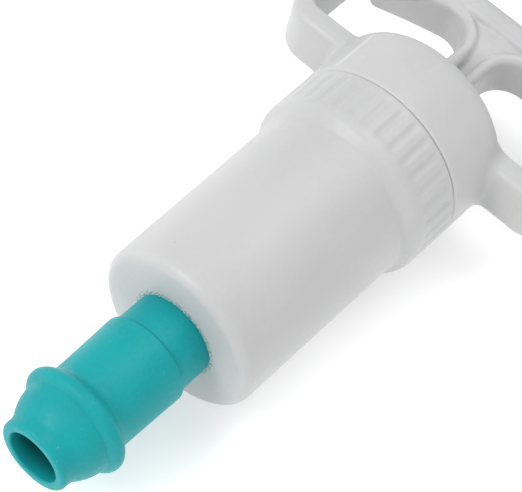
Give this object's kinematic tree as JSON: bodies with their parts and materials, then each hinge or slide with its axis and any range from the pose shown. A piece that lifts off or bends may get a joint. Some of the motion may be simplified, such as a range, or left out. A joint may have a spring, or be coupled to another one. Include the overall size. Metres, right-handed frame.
{
  "type": "hand suction pump",
  "caption": "Squeeze-grip hand suction pump with a soft ringed nozzle, fluted barrel collar, stirrup cap and sprung T pull handle.",
  "frame": {"origin": "on the pump axis at the mouth of the soft nozzle, where the straight bore begins behind its rounded lip", "axes": "+X along the pump axis from the nozzle towards the stirrup, Y across the stirrup, +Z normal to the stirrup's flat plane"},
  "size_m": [0.1846, 0.0718, 0.0412],
  "materials": {
    "white_shell": "satin moulded white",
    "teal_nozzle": "soft satin teal",
    "natural_plastic": "natural acetal",
    "grey_plastic": "moulded grey",
    "seal_rubber": "black rubber",
    "silicone": "translucent silicone",
    "steel": "bright steel"
  },
  "bodies": {
    "barrel": {"barrel": "white_shell", "nozzle": "teal_nozzle", "inlet_spigot": "grey_plastic", "spigot_o_ring": "seal_rubber", "inlet_valve_cage": "natural_plastic", "cap_gasket": "seal_rubber"},
    "cap": {"cap_and_stirrup": "white_shell", "rod_guide": "natural_plastic", "return_spring": "steel"},
    "piston": {"pull_handle": "white_shell", "seal_retainer": "grey_plastic", "piston_seal": "seal_rubber", "piston_body": "grey_plastic", "exhaust_valve_cage": "natural_plastic", "piston_screw": "steel", "screw_washer": "steel", "piston_buffer": "seal_rubber"},
    "inlet_disc": {"inlet_valve_disc": "silicone"},
    "exhaust_ring": {"exhaust_valve_ring": "silicone"}
  },
  "joints": [
    {"name": "cap_turn", "type": "hinge", "parent": "barrel", "child": "cap", "pos_m": [0.0952, 0, 0], "axis": [1, 0, 0], "range_deg": [0, 35]},
    {"name": "handle_pull", "type": "slide", "parent": "cap", "child": "piston", "axis": [1, 0, 0], "range_m": [0, 0.03], "stiffness_N_per_m": 400, "springref_m": -0.012, "deforming": ["return_spring"]},
    {"name": "inlet_valve_lift", "type": "slide", "parent": "barrel", "child": "inlet_disc", "axis": [1, 0, 0], "range_m": [0, 0.0012]},
    {"name": "exhaust_valve_lift", "type": "slide", "parent": "piston", "child": "exhaust_ring", "axis": [1, 0, 0], "range_m": [0, 0.0012]}
  ]
}
